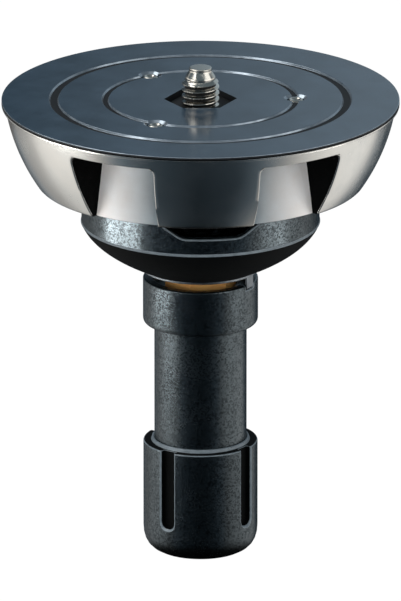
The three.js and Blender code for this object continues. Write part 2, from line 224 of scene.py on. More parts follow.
def place_in_mm(tree):
    """Where a point is on its piece, in mm."""
    where = add(tree, "ShaderNodeTexCoord").outputs["Object"]
    return add(tree, "ShaderNodeVectorMath", {0: where, "Scale": 1 / MM}, operation="SCALE").outputs[0]


def toned(tree, shader, share, dark, light):
    """The colour runs from one hex colour to another with a pattern."""
    tone = add(tree, "ShaderNodeMix", {"Factor": share, 6: linear(dark), 7: linear(light)},
               data_type="RGBA")
    tree.links.new(tone.outputs[2], shader.inputs["Base Color"])


def roughened(tree, shader, pattern, pattern_range, roughness_range):
    """The roughness runs from one value to another with a pattern."""
    rough = add(tree, "ShaderNodeMapRange", {
        "Value": pattern, "From Min": pattern_range[0], "From Max": pattern_range[1],
        "To Min": roughness_range[0], "To Max": roughness_range[1],
    })
    tree.links.new(rough.outputs[0], shader.inputs["Roughness"])


def embossed(tree, shader, pattern, strength, depth):
    """The surface rises and falls with a pattern, by a depth in metres."""
    relief = add(tree, "ShaderNodeBump", {"Height": pattern, "Strength": strength, "Distance": depth})
    tree.links.new(relief.outputs[0], shader.inputs["Normal"])


def finished(piece, number, chosen):
    """Gives the finish with this number to the faces whose middle (mm) and normal are chosen."""
    for face in piece.data.polygons:
        if chosen(face.center / MM, face.normal):
            face.material_index = number


def dress(piece, materials, body, slot, *nodes):
    """Gives a piece its materials, its body and the solids that it stands for. The slot is not used."""
    numbers = [face.material_index for face in piece.data.polygons]
    piece.data.materials.clear()
    for material in materials:
        piece.data.materials.append(material)
    piece.data.polygons.foreach_set("material_index", numbers)
    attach(piece, body)
    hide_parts(*nodes)


ball_radius = 50
flange_radius = 50.2
flange_top, flange_bottom = -7.35, -8.2
deck_top, deck_bottom = -10.0, -15.8
ball_bottom, hub_bottom = -28.3, -30.8
hub_radius, hollow_radius = 11, 32.6
rod_bore, spigot_bore = 5.3, 33.3
screw_circle, screw_bore = 24, 2.3
rib_reach, rib_width, rib_rise = 34.4, 3, 2.5
boss_radius, boss_depth = 4.5, 4
pocket_top, pocket_corner, pocket_half_top, pocket_half_bottom = -10.8, 2, 12.72, 11.77
floor_radius_low, floor_low, floor_radius_high, floor_high = 40.56, -32, 35.79, -8.8
overlap = 1

sphere_foot, sphere_steps = ball_bottom + 0.5, 48
sphere = []
for i in range(sphere_steps + 1):
    z = sphere_foot + (flange_bottom - sphere_foot) * i / sphere_steps
    sphere.append((math.sqrt(ball_radius ** 2 - z ** 2), z))
half_ball = turned("ball_casting", [
    (rod_bore, hub_bottom), (hub_radius, hub_bottom, 0.5), (hub_radius, deck_bottom, 2),
    (hollow_radius, deck_bottom, 2), (hollow_radius + 1, ball_bottom, 0.4),
    (sphere[0][0] - 0.5, ball_bottom), *sphere,
    (flange_radius, flange_bottom, 0.25), (flange_radius, flange_top),
    (spigot_bore, flange_top), (spigot_bore, deck_top), (rod_bore, deck_top),
])
rib = block("rib", hub_radius - overlap, rib_reach, rib_width, ball_bottom + rib_rise,
            deck_bottom + overlap)
boss = turned("boss", [
    (0, deck_bottom - boss_depth), (boss_radius, deck_bottom - boss_depth, 0.4),
    (boss_radius, deck_bottom + overlap), (0, deck_bottom + overlap),
], sides=48)
half_ball = combined(half_ball, "UNION", around(rib, evenly(3, 30)),
                     around(boss, evenly(3), screw_circle))

wedge = sideways("pocket", [
    (-pocket_half_bottom, ball_bottom - overlap), (pocket_half_bottom, ball_bottom - overlap),
    (pocket_half_top, pocket_top, pocket_corner), (-pocket_half_top, pocket_top, pocket_corner),
], hollow_radius, ball_radius + overlap, flared=True)
pocket_floor = turned("pocket_floor", [
    (0, floor_low), (floor_radius_low, floor_low), (floor_radius_high, floor_high), (0, floor_high),
])
wedge = combined(around(wedge, [60, 120, 240, 300]), "DIFFERENCE", pocket_floor)
bore = [(0, ball_bottom), (screw_bore, ball_bottom), (screw_bore, deck_top + overlap),
        (0, deck_top + overlap)]
bores = around(turned("bore", bore, sides=48), evenly(6), screw_circle)
half_ball = edged(combined(half_ball, "DIFFERENCE", wedge, bores), 0.3)

# Turned and polished aluminium mirrors softly. Turning leaves faint rings about the axis, handling
# leaves dull patches. Its rings are 0.25 mm apart, drawn at 0.7 mm to show at all.
polished, tree, shader = surface("polished_aluminium", "#dcd9d2", Metallic=1, Roughness=0.2)
where = place_in_mm(tree)
rings = add(tree, "ShaderNodeTexWave", {"Vector": where, "Scale": 0.45, "Distortion": 0.6, "Detail": 3},
            bands_direction="Z")
dull = add(tree, "ShaderNodeTexNoise", {"Vector": where, "Scale": 0.09, "Detail": 5, "Roughness": 0.6})
roughened(tree, shader, dull.outputs[0], (0.35, 0.7), (0.17, 0.3))
toned(tree, shader, dull.outputs[0], "#e6e1d8", "#cfd0cc")
embossed(tree, shader, rings.outputs[0], 0.04, 0.00002)

# The pockets' floors are milled to a fine satin. Their colour is painted light: near white at their
# outer ends, grading to a darker blue-grey towards the middle, in place of the light that falls on
# them. The cutter's marks are 0.4 mm apart.
milled, tree, shader = surface("milled_aluminium", "#e4ded8", Metallic=0.35, Roughness=0.5)
where = place_in_mm(tree)
marks = add(tree, "ShaderNodeTexWave", {"Vector": where, "Scale": 0.8, "Distortion": 1.5, "Detail": 2},
            bands_direction="Z")
stain = add(tree, "ShaderNodeTexNoise", {"Vector": where, "Scale": 0.16, "Detail": 6, "Roughness": 0.6})
across = add(tree, "ShaderNodeSeparateXYZ", {0: where}).outputs[0]
across = add(tree, "ShaderNodeMath", {0: across}, operation="ABSOLUTE")
painted_light_share = add(tree, "ShaderNodeMapRange", {
    "Value": across.outputs[0], "From Min": 11, "From Max": 25,
})
painted_lit_tone = add(tree, "ShaderNodeMix", {
    "Factor": stain.outputs[0], 6: linear("#ffffff"), 7: linear("#f1e6dc"),
}, data_type="RGBA")
painted_shaded_tone = add(tree, "ShaderNodeMix", {
    "Factor": stain.outputs[0], 6: linear("#7d8c92"), 7: linear("#56656c"),
}, data_type="RGBA")
# Painted light and shade across the floor, by the distance from the middle.
tone = add(tree, "ShaderNodeMix", {
    "Factor": painted_light_share.outputs[0], 6: painted_shaded_tone.outputs[2], 7: painted_lit_tone.outputs[2],
}, data_type="RGBA")
tree.links.new(tone.outputs[2], shader.inputs["Base Color"])
embossed(tree, shader, marks.outputs[0], 0.1, 0.00003)

# The pockets' sides and the hollow below keep the casting's skin, rough like sand. Painted shade: they,
# the ball's underside at its rim and the top of the flange's rim are painted near black, for the shade
# in the recesses and the shadow lines at the seams.
cast_skin_shade, tree, shader = surface("shaded_casting", "#040404", Roughness=0.85,
                             Specular_IOR_Level=0.1)
where = place_in_mm(tree)
sand = add(tree, "ShaderNodeTexNoise", {"Vector": where, "Scale": 1.4, "Detail": 4, "Roughness": 0.7})
toned(tree, shader, sand.outputs[0], "#020202", "#070808")
embossed(tree, shader, sand.outputs[0], 0.6, 0.0002)


def in_pocket(middle):
    side = math.sqrt(ball_radius ** 2 - middle.z ** 2)
    return middle.xy.length < side - 0.3 and middle.z < pocket_top + 0.3


def pocket_floor_face(middle, normal):
    return in_pocket(middle) and normal.xy.dot(middle.xy.normalized()) > 0.8


def cast_or_shaded(middle, normal):
    pocket_side = in_pocket(middle) and not pocket_floor_face(middle, normal)
    hollow = middle.z < deck_bottom + 1 and middle.xy.length < hollow_radius + 1.5
    return pocket_side or hollow or middle.z < ball_bottom + 0.3


def top_of_flange(middle, normal):
    return middle.z > flange_top - 0.31 and middle.xy.length > flange_radius - 0.35


# Painted shade and painted shadow lines: these faces get the near-black finish.
finished(half_ball, 2, cast_or_shaded)
finished(half_ball, 2, top_of_flange)
finished(half_ball, 1, pocket_floor_face)
dress(half_ball, [polished, milled, cast_skin_shade], "ball", "polished_aluminium", "half_ball")

# Face plate. A turned aluminium plate, hard anodised to a satin slate grey, let into the top of the
# ball. Two fine grooves run round it, and a hexagonal opening holds the stud's collar. The screws
# that fix it come from below.
plate_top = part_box("face_plate")[1].z / MM
plate_thickness, lip_thickness = 3.2, 0.55
spigot_radius, outer_groove = 33, 37
outer_groove_width, inner_groove_width, groove_depth, groove_slant = 2.4, 1.8, 0.5, 0.28
collar_flats, opening_play = 15.4, 0.6
countersink, countersink_depth, blind_depth = 1.3, 0.7, 2.2


def hexagon(flats, turn=0):
    """Corners of a hexagon with this width across its flats."""
    reach = flats / math.sqrt(3)
    angles = [math.radians(turn) + math.tau * i / 6 for i in range(6)]
    return [(reach * math.cos(a), reach * math.sin(a)) for a in angles]


def upright(name, corners, bottom, top):
    """A straight prism along Z."""
    mesh = bmesh.new()
    ends = [[mesh.verts.new((x, y, z)) for x, y in rounded(corners)] for z in (bottom, top)]
    mesh.faces.new(ends[0])
    mesh.faces.new(ends[1])
    for i in range(len(ends[0])):
        mesh.faces.new((ends[0][i - 1], ends[0][i], ends[1][i], ends[1][i - 1]))
    return piece_from(name, mesh)


def groove(radius, width):
    """Corners of a turned groove with steep sides, from its outer edge inwards."""
    half = width / 2
    foot = half - groove_slant
    floor = plate_top - groove_depth
    return [(radius + half, plate_top, 0.08), (radius + foot, floor, 0.12),
            (radius - foot, floor, 0.12), (radius - half, plate_top, 0.08)]


plate_bottom = plate_top - plate_thickness
plate = turned("face_plate_disc", [
    (0, plate_bottom), (spigot_radius, plate_bottom), (spigot_radius, plate_top - lip_thickness),
    (flange_radius, plate_top - lip_thickness), (flange_radius, plate_top, 0.2),
    *groove(outer_groove, outer_groove_width), *groove(screw_circle, inner_groove_width),
    (0, plate_top),
], sides=288)
opening = upright("opening", hexagon(collar_flats + opening_play), plate_bottom - overlap,
                  plate_top + overlap)
sink_top = plate_top - countersink_depth + countersink
lock_bore = turned("lock_bore", [
    (0, plate_bottom - overlap), (screw_bore, plate_bottom - overlap),
    (screw_bore, plate_top - countersink_depth), (screw_bore + countersink, sink_top), (0, sink_top),
], sides=48)
blind_bore = turned("blind_bore", [
    (0, plate_bottom - overlap), (screw_bore, plate_bottom - overlap),
    (screw_bore, plate_bottom + blind_depth), (0, plate_bottom + blind_depth),
], sides=48)
plate = combined(plate, "DIFFERENCE", opening, around(lock_bore, evenly(3), screw_circle),
                 around(blind_bore, evenly(3, 60), screw_circle))
plate = edged(plate, 0)


def groove_wall(middle, normal):
    in_grooves = middle.xy.length < outer_groove + outer_groove_width
    return in_grooves and middle.z > plate_top - groove_depth and 0.1 < normal.z < 0.8


def groove_floor(middle, normal):
    return plate_top - groove_depth - 0.1 < middle.z < plate_top - 0.3 and normal.z >= 0.8


def rim_rounding(middle, normal):
    on_rim = middle.xy.length > flange_radius - 0.3
    return on_rim and middle.z > plate_top - 0.2 and 0.25 < normal.z < 0.97


def rim_side(middle, normal):
    return middle.xy.length > flange_radius - 0.3 and normal.z <= 0.25


def opening_side(middle, normal):
    in_opening = middle.xy.length < collar_flats / math.sqrt(3) + 1
    return in_opening and middle.z < plate_top - 1 and abs(normal.z) < 0.1


# The grooves' walls and the rim's rounding get the thin anodising. Painted shade: the rim's side, the
# grooves' floors and the opening's sides get the near-black finish.
for number, chosen in ((1, groove_wall), (1, rim_rounding), (2, rim_side), (2, groove_floor),
                       (2, opening_side)):
    finished(plate, number, chosen)

# Hard anodising over a bead-blasted face scatters a soft sheen. Hands and heads that were screwed on
# leave pale rubbed patches, and the grooves are painted dark as painted shade. Blasting grit is 0.1 mm,
# drawn at 0.5 mm.
anodised, tree, shader = surface("hard_anodised_aluminium", "#33444f", Roughness=0.26, IOR=1.6)
where = place_in_mm(tree)
rubbed = add(tree, "ShaderNodeTexNoise", {
    "Vector": where, "Scale": 0.06, "Detail": 8, "Roughness": 0.7,
})
grit = add(tree, "ShaderNodeTexNoise", {"Vector": where, "Scale": 1.6, "Detail": 2})
share = add(tree, "ShaderNodeMapRange", {
    "Value": rubbed.outputs[0], "From Min": 0.35, "From Max": 0.65,
})
toned(tree, shader, share.outputs[0], "#273845", "#3c4e5d")
roughened(tree, shader, rubbed.outputs[0], (0.3, 0.7), (0.12, 0.2))
embossed(tree, shader, grit.outputs[0], 0.1, 0.0001)

# On the grooves' walls and the rim's rounding the anodising has worn thin, so that metal glints.
thin_anodising, tree, shader = surface("thin_anodising", "#8c98a2", Metallic=0.7, Roughness=0.2)
where = place_in_mm(tree)
worn = add(tree, "ShaderNodeTexNoise", {"Vector": where, "Scale": 0.4, "Detail": 5})
toned(tree, shader, worn.outputs[0], "#56626c", "#c4ced6")

# Painted shade: the grooves' floors, the opening's sides and the seam at the rim are painted near black
# for the shade that falls in them.
groove_shade, tree, shader = surface("groove_shade", "#07090b", Roughness=0.7)
where = place_in_mm(tree)
shade_mottle = add(tree, "ShaderNodeTexNoise", {"Vector": where, "Scale": 0.8, "Detail": 5})
toned(tree, shader, shade_mottle.outputs[0], "#030405", "#12171c")
dress(plate, [anodised, thin_anodising, groove_shade], "ball", "dark_plate", "face_plate")

# Head stud. A 3/8-16 UNC camera stud of nickel-plated steel, with a turned tip and cone that lead
# it into the head. Its hexagonal collar sits in the plate's opening and its shank in the hub.
stud_radius, stud_height, stud_pitch, thread_chamfer = 4.7625, 8.3, 1.5875, 0.8
tip_radius, neck_radius, collar_sink, stud_shank = 2.85, 3.85, 1.4, 7
thread_end, neck_foot, cone_foot, tip_length = 3.9, 3, 2.45, 0.8
stud_thread_depth = 0.92


def threaded(name, radius, pitch, depth, bottom, top, sides=96, cuts=12):
    """A right-hand 60 degree thread from bottom to top, whose faces run along the helix."""
    mesh = bmesh.new()
    turns = math.ceil((top - bottom) / pitch) + 3
    rows = []
    for k in range(turns * cuts + 1):
        phase = (k % cuts) / cuts
        # The crest is an eighth of the pitch wide, the root a quarter, and the flanks are straight.
        climb = min(max(abs(phase - 0.5) * 3.2 - 0.2, 0), 1)
        reach = radius - depth * climb
        row = []
        for i in range(sides):
            angle = math.tau * i / sides
            up = bottom + (k / cuts - 2 + i / sides) * pitch
            row.append(mesh.verts.new((reach * math.cos(angle), reach * math.sin(angle), up)))
        rows.append(row)
    for k in range(len(rows) - 1):
        for i in range(sides - 1):
            mesh.faces.new((rows[k][i], rows[k][i + 1], rows[k + 1][i + 1], rows[k + 1][i]))
        if k + cuts + 1 < len(rows):
            low, high = rows[k + cuts], rows[k + cuts + 1]
            mesh.faces.new((rows[k][-1], low[0], high[0], rows[k + 1][-1]))
    foot = [*rows[0], *[rows[k][0] for k in range(cuts, 0, -1)]]
    head = [*rows[-1], *[rows[-1 - k][-1] for k in range(1, cuts + 1)]][::-1]
    for loop, up in ((foot, rows[0][0].co.z), (head, rows[-1][-1].co.z)):
        tip = mesh.verts.new((0, 0, up))
        for i in range(len(loop)):
            mesh.faces.new((loop[i - 1], loop[i], tip))
    return piece_from(name, mesh)


stud_foot = plate_bottom - stud_shank
stud_top = plate_top + stud_height
stud_shape = turned("stud_shape", [
    (0, stud_foot), (stud_radius - thread_chamfer, stud_foot),
    (stud_radius, stud_foot + thread_chamfer),
    (stud_radius, stud_top - thread_end), (neck_radius, stud_top - neck_foot),
    (neck_radius, stud_top - cone_foot, 0.3), (tip_radius, stud_top - tip_length, 0.3),
    (tip_radius, stud_top, 0.3), (0, stud_top),
], sides=96)
stud = threaded("head_stud_thread", stud_radius, stud_pitch, stud_thread_depth, stud_foot, stud_top)
stud = combined(stud, "INTERSECT", stud_shape)
collar = upright("collar", hexagon(collar_flats), plate_bottom, plate_top - collar_sink)
stud = edged(combined(stud, "UNION", collar), 0, sharp=28)

# Bright nickel over steel mirrors sharply, with a warm tone and fine wear on the thread's crests.
nickel, tree, shader = surface("nickel_plated_steel", "#d9d3c8", Metallic=1, Roughness=0.16)
where = place_in_mm(tree)
wear = add(tree, "ShaderNodeTexNoise", {"Vector": where, "Scale": 0.6, "Detail": 4})
roughened(tree, shader, wear.outputs[0], (0.35, 0.7), (0.12, 0.3))

# Painted shade: down in the plate's opening the collar's top, and the thread's roots, are painted near
# black for the shade that falls in them.
stud_recess_shade, tree, shader = surface("stud_recess_shade", "#0a0a0a", Roughness=0.6)
where = place_in_mm(tree)
shade_blotches = add(tree, "ShaderNodeTexNoise", {"Vector": where, "Scale": 0.9, "Detail": 4})
toned(tree, shader, shade_blotches.outputs[0], "#040404", "#161412")


def top_of_collar(middle, normal):
    return normal.z > 0.9 and abs(middle.z - plate_top + collar_sink) < 0.1


def thread_root(middle, normal):
    above_collar = plate_top - collar_sink < middle.z < stud_top - thread_end
    return above_collar and middle.xy.length < stud_radius - 0.8


# Painted shade on the collar's top and the thread's roots.
finished(stud, 1, top_of_collar)
finished(stud, 1, thread_root)
dress(stud, [nickel, stud_recess_shade], "ball", "bright_steel", "head_stud")

# Plate screws. Three M4 cap screws of zinc-plated steel that pull the plate down on the deck, with
# hexagonal sockets that a key reaches through the hollow.
head_radius, head_height, socket_flats, socket_depth = 3.8, 2.4, 2.5, 1.4
screw_radius, plate_screw_reach = 2, 7.7

# Zinc plating is a pale, slightly blue metal with a spangled, uneven shine.
zinc, tree, shader = surface("zinc_plated_steel", "#a8abad", Metallic=1, Roughness=0.34)
where = place_in_mm(tree)
spangle = add(tree, "ShaderNodeTexVoronoi", {"Vector": where, "Scale": 0.7})
roughened(tree, shader, spangle.outputs[0], (0, 1), (0.26, 0.44))
toned(tree, shader, spangle.outputs[0], "#b3b6b8", "#94989b")

for i, angle in enumerate(evenly(3, 60)):
    screw = turned("cap_screw", [
        (0, -head_height), (head_radius, -head_height, 0.6), (head_radius, 0), (screw_radius, 0),
        (screw_radius, plate_screw_reach), (0, plate_screw_reach),
    ], sides=48, height=deck_bottom)
    head_foot = deck_bottom - head_height
    socket = upright("socket", hexagon(socket_flats), head_foot - overlap, head_foot + socket_depth)
    screw = combined(screw, "DIFFERENCE", socket)
    screw = edged(around(screw, [angle], screw_circle), 0.1, segments=2)
    screw.name = f"cap_screw_{i + 1}"
    dress(screw, [zinc], "ball", "zinc_steel", f"plate_screw_{i + 1}")

# Lock screws. Three M4 set screws of nickel-plated steel with cup points. Turned from below, each
# rises through the plate and bites into the head's base, so that the head can't unscrew.
lock_screw_length, lock_pitch, lock_thread_depth = 16, 0.7, 0.38
lock_socket_flats, lock_socket_depth = 2, 2.5
point_radius, dimple_radius, point_height, dimple_depth = 1.65, 1.3, 0.45, 1.1
for i, angle in enumerate(evenly(3)):
    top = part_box(f"lock_screw_{i + 1}")[1].z / MM
    bottom = top - lock_screw_length
    shape = turned("set_screw_shape", [
        (0, bottom), (screw_radius, bottom, 0.3), (screw_radius, top - point_height),
        (point_radius, top, 0.1), (dimple_radius, top, 0.1), (0, top - dimple_depth),
    ], sides=48)
    screw = threaded("set_screw", screw_radius, lock_pitch, lock_thread_depth, bottom, top,
                     sides=48, cuts=8)
    screw = combined(screw, "INTERSECT", shape)
    socket = upright("socket", hexagon(lock_socket_flats), bottom - overlap, bottom + lock_socket_depth)
    screw = edged(around(combined(screw, "DIFFERENCE", socket), [angle], screw_circle), 0, sharp=28)
    screw.name = f"set_screw_{i + 1}"
    dress(screw, [nickel], f"lock_{i + 1}", "bright_steel", f"lock_screw_{i + 1}")

# Tie rod. An M10 studding of zinc-plated steel, screwed up into the hub and locked there by a
# washer and nut. A washer and a cross pin near its lower end keep the knob from running off it.
rod_radius, rod_pitch, rod_thread_depth, rod_chamfer = 5, 1.5, 0.85, 0.8
pin_radius, pin_reach, pin_hole_radius = 1.5, 6.1, 1.7
rod_bottom, rod_top = (corner.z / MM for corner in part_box("tie_rod"))
pin_low, pin_high = (corner.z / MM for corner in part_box("rod_stop_pin"))
rod_shape = turned("rod_shape", [
    (0, rod_bottom), (rod_radius - rod_chamfer, rod_bottom), (rod_radius, rod_bottom + rod_chamfer),
    (rod_radius, rod_top - rod_chamfer), (rod_radius - rod_chamfer, rod_top), (0, rod_top),
], sides=64)
rod = threaded("tie_rod_thread", rod_radius, rod_pitch, rod_thread_depth, rod_bottom, rod_top,
               sides=64, cuts=8)
rod = combined(rod, "INTERSECT", rod_shape)


def cross_pin(name, radius, reach, middle):
    """A round pin along X, through the axis."""
    pin = turned(name, [(0, -reach), (radius, -reach, 0.15), (radius, reach, 0.15), (0, reach)],
                 sides=32)
    pin.data.transform(Matrix.Rotation(math.pi / 2, 4, "Y"))
    pin.data.transform(Matrix.Translation((0, 0, middle * MM)))
    return pin


pin_height = (pin_low + pin_high) / 2
pin_hole = cross_pin("pin_hole", pin_hole_radius, rod_radius + 2, pin_height)
rod = combined(rod, "DIFFERENCE", pin_hole)
dress(edged(rod, 0, sharp=28), [zinc], "ball", "zinc_steel", "tie_rod")
pin = cross_pin("stop_pin", pin_radius, pin_reach, pin_height)
dress(edged(pin, 0), [zinc], "ball", "zinc_steel", "rod_stop_pin")


def washer(name, node, bore):
    """A flat washer with broken edges, in the place of a solid one."""
    low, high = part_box(node)
    outer, bottom, top = high.x / MM, low.z / MM, high.z / MM
    corners = [(bore, bottom, 0.15), (outer, bottom, 0.2), (outer, top, 0.2), (bore, top, 0.15)]
    return edged(turned(name, corners, sides=96), 0)


lock_washer = washer("lock_washer", "rod_lock_washer", rod_bore)
dress(lock_washer, [zinc], "ball", "zinc_steel", "rod_lock_washer")
stop_washer = washer("stop_washer", "rod_stop_washer", rod_bore)
dress(stop_washer, [zinc], "ball", "zinc_steel", "rod_stop_washer")

nut_flats, nut_land, hole_sink = 16, 0.2, 0.8


def nut(name, node, turn=0):
    """A hexagonal nut with turned corners and a countersunk hole, in the place of a solid one."""
    bottom, top = (corner.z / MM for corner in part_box(node))
    reach, land = nut_flats / math.sqrt(3), nut_flats / 2 - nut_land
    drop = (reach - nut_flats / 2) * 0.7
    blank = upright(name, hexagon(nut_flats, turn), bottom, top)
    shape = turned("nut_shape", [
        (0, bottom), (land, bottom), (reach, bottom + drop), (reach, top - drop), (land, top), (0, top),
    ], sides=96)
    mouth = rod_bore + hole_sink + overlap
    hole = turned("nut_hole", [
        (0, bottom - overlap), (mouth, bottom - overlap), (rod_bore, bottom + hole_sink),
        (rod_bore, top - hole_sink), (mouth, top + overlap), (0, top + overlap),
    ], sides=64)
    return edged(combined(combined(blank, "INTERSECT", shape), "DIFFERENCE", hole), 0.12, segments=2)


lock_nut = nut("lock_nut", "rod_lock_nut")
dress(lock_nut, [zinc], "ball", "zinc_steel", "rod_lock_nut")

# Clamp cup. A black glass-filled nylon moulding that slides on the rod. Its straight band bears on
# the underside of the bowl, with three shallow notches in the rim, over a bowl that narrows to a
# flat foot. Inside, a boss guides it on the rod and six ribs stiffen it.
cup_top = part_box("clamp_cup")[1].z / MM
band_radius, ridge, cup_foot = 30.1, cup_top - 10.6, cup_top - 22.2
foot_radius, cup_wall, cup_floor = 14.9, 2.6, 2.8
cup_boss_radius, cup_boss_top, cup_rib_width = 9.2, cup_foot + 10.5, 2
bead_reach, bead_height = 0.2, 0.7
notch_foot, notch_mouth, notch_depth, notch_corner = 7.5, 16.5, 6, 1.5
cup_turn = 3.3


def bowl_side(wide, top, bottom, narrow, points=24):
    """The bowl's side as a curve that leaves the foot flat and meets the band steeply."""
    curve = []
    for i in range(points + 1):
        t = i / points
        weights = ((1 - t) ** 3, 3 * t * (1 - t) ** 2, 3 * t * t * (1 - t), t ** 3)
        across = sum(weight * share for weight, share in zip(weights, (0, 0.62, 0.9, 1)))
        up = sum(weight * share for weight, share in zip(weights, (0, 0.36, 0.7, 1)))
        curve.append((narrow + across * (wide - narrow), bottom + up * (top - bottom)))
    return curve


outside = bowl_side(band_radius, ridge, cup_foot, foot_radius)
outside += [(band_radius + bead_reach, ridge + 0.3, 0.1), (band_radius, ridge + bead_height),
            (band_radius, cup_top, 0.5)]
inside = bowl_side(band_radius - cup_wall, ridge, cup_foot + cup_floor, foot_radius - cup_wall)[::-1]
cup = turned("clamp_cup_moulding", [
    (rod_bore, cup_foot), *outside, (band_radius - cup_wall, cup_top, 0.5), *inside,
    (cup_boss_radius, cup_foot + cup_floor), (cup_boss_radius, cup_boss_top, 0.5),
    (rod_bore, cup_boss_top),
], sides=216)
rib = block("cup_rib", cup_boss_radius - overlap, band_radius, cup_rib_width, cup_foot,
            cup_boss_top - 0.3)
envelope = turned("cup_envelope", [(0, cup_foot), *outside, (0, cup_top)], sides=216)
ribs = combined(around(rib, evenly(6)), "INTERSECT", envelope)
notch = sideways("cup_notch", [
    (-notch_foot, cup_top - notch_depth, notch_corner),
    (notch_foot, cup_top - notch_depth, notch_corner),
    (notch_mouth, cup_top), (notch_mouth, cup_top + overlap),
    (-notch_mouth, cup_top + overlap), (-notch_mouth, cup_top),
], foot_radius, band_radius + overlap)
cup = combined(combined(cup, "UNION", ribs), "DIFFERENCE", around(notch, evenly(3, 30)))
# Its rounded edges get the rubbed nylon, partly a painted highlight.
cup = edged(around(cup, [cup_turn]), 0.4, own_finish=True)


def on_bead(middle, normal):
    return ridge < middle.z < ridge + bead_height and middle.xy.length > band_radius - 0.1


def under_ridge(middle, normal):
    return middle.z < ridge - 0.1 and (normal.xy.dot(middle.xy) > 0 or normal.z < -0.5)


# Partly painted highlight: the bead gets the rubbed nylon, for the light line along the ridge.
finished(cup, 1, on_bead)
# Painted shade under the ridge.
finished(cup, 2, under_ridge)


def moulded_nylon(name, mirrors, pits_per_mm, cloud_scale, cloud_detail, roughness_range):
    """Glass-filled nylon: a black that shines, broken up by pits that don't."""
    made, tree, shader = surface(name, "#020303", IOR=mirrors, Specular_Tint=linear("#e6f8ff"))
    where = place_in_mm(tree)
    grain = add(tree, "ShaderNodeTexVoronoi", {"Vector": where, "Scale": pits_per_mm})
    shade = add(tree, "ShaderNodeSeparateXYZ", {0: grain.outputs["Color"]}).outputs[0]
    pits = add(tree, "ShaderNodeMapRange", {
        "Value": shade, "From Min": 0.4, "From Max": 0.85, "To Max": 0.6,
    })
    tree.links.new(pits.outputs[0], shader.inputs["Metallic"])
    cloud = add(tree, "ShaderNodeTexNoise", {
        "Vector": where, "Scale": cloud_scale, "Detail": cloud_detail,
    })
    roughened(tree, shader, cloud.outputs[0], (0.3, 0.7), roughness_range)
    embossed(tree, shader, shade, 0.3, 0.00006)
    return made


# It comes out of a spark-eroded tool. The pits are 0.2 mm across, drawn at 0.4 mm to show at all.
nylon = moulded_nylon("glass_filled_nylon", 2.3, 2.6, 0.14, 3, (0.2, 0.28))

# Where its edges rub, the nylon turns smooth and grey. Its grey is partly painted highlight, lighter
# than the wear alone, for the light lines that the edges catch.
rubbed_and_highlit_nylon, tree, shader = surface("rubbed_and_highlit_nylon", "#6e787c", Roughness=0.38, IOR=1.6)
where = place_in_mm(tree)
scuffed_highlight = add(tree, "ShaderNodeTexNoise", {"Vector": where, "Scale": 0.5, "Detail": 5, "Roughness": 0.7})
toned(tree, shader, scuffed_highlight.outputs[0], "#39434a", "#8a969c")

# Painted shade: under the ridge, in the grip's slots and on the grip's top face the nylon is painted a
# rough, dull near black for the shade that falls there.
shaded_nylon_skin, tree, shader = surface("shaded_nylon_skin", "#040505", Roughness=0.7, Specular_IOR_Level=0.1)
where = place_in_mm(tree)
grain = add(tree, "ShaderNodeTexNoise", {"Vector": where, "Scale": 2.5, "Detail": 3})
toned(tree, shader, grain.outputs[0], "#010202", "#060808")
dress(cup, [nylon, rubbed_and_highlit_nylon, shaded_nylon_skin], "cup", "black_nylon", "clamp_cup")

# Thrust washer. A nickel-plated steel disc that lets the knob turn under the cup. One tang is bent
# down into a keyway in the knob's rim, so that the washer turns with the knob.
tang_foot, washer_top = (corner.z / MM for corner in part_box("thrust_washer"))
washer_thickness = 0.6
washer_bottom = washer_top - washer_thickness
tang_radius, tang_width, tang_angle = 13.87, 3.2, 328
disc = turned("thrust_washer_disc", [
    (rod_bore, washer_bottom, 0.1), (foot_radius, washer_bottom, 0.15),
    (foot_radius, washer_top, 0.15), (rod_bore, washer_top, 0.1),
], sides=144)
tang = block("tang", tang_radius, tang_radius + washer_thickness, tang_width, tang_foot,
             washer_bottom + 0.3)
disc = combined(disc, "UNION", around(tang, [tang_angle]))

# Its nickel is dull with grease.
dull_nickel, tree, shader = surface("greased_nickel", "#8b9094", Metallic=1, Roughness=0.42)
where = place_in_mm(tree)
grease = add(tree, "ShaderNodeTexNoise", {"Vector": where, "Scale": 0.5, "Detail": 4})
toned(tree, shader, grease.outputs[0], "#a2a8ac", "#55595c")
dress(edged(disc, 0.1, segments=2), [dull_nickel], "knob", "bright_steel", "thrust_washer")

# Brass nut. A long hexagonal nut, turned and drilled from bar, that sits in the knob's well and
# runs on the tie rod. Its facets show in the gap under the washer.
nut_turn = 12.4
brass_nut = nut("long_nut", "brass_nut", turn=nut_turn)

# Machined brass is a warm yellow metal, a little redder where it has tarnished.
brass, tree, shader = surface("machined_brass", "#e8b45c", Metallic=0.25, Roughness=0.5)
where = place_in_mm(tree)
tarnish = add(tree, "ShaderNodeTexNoise", {"Vector": where, "Scale": 0.25, "Detail": 4})
toned(tree, shader, tarnish.outputs[0], "#ffd27a", "#f09a5a")
dress(brass_nut, [brass], "knob", "brass", "brass_nut")

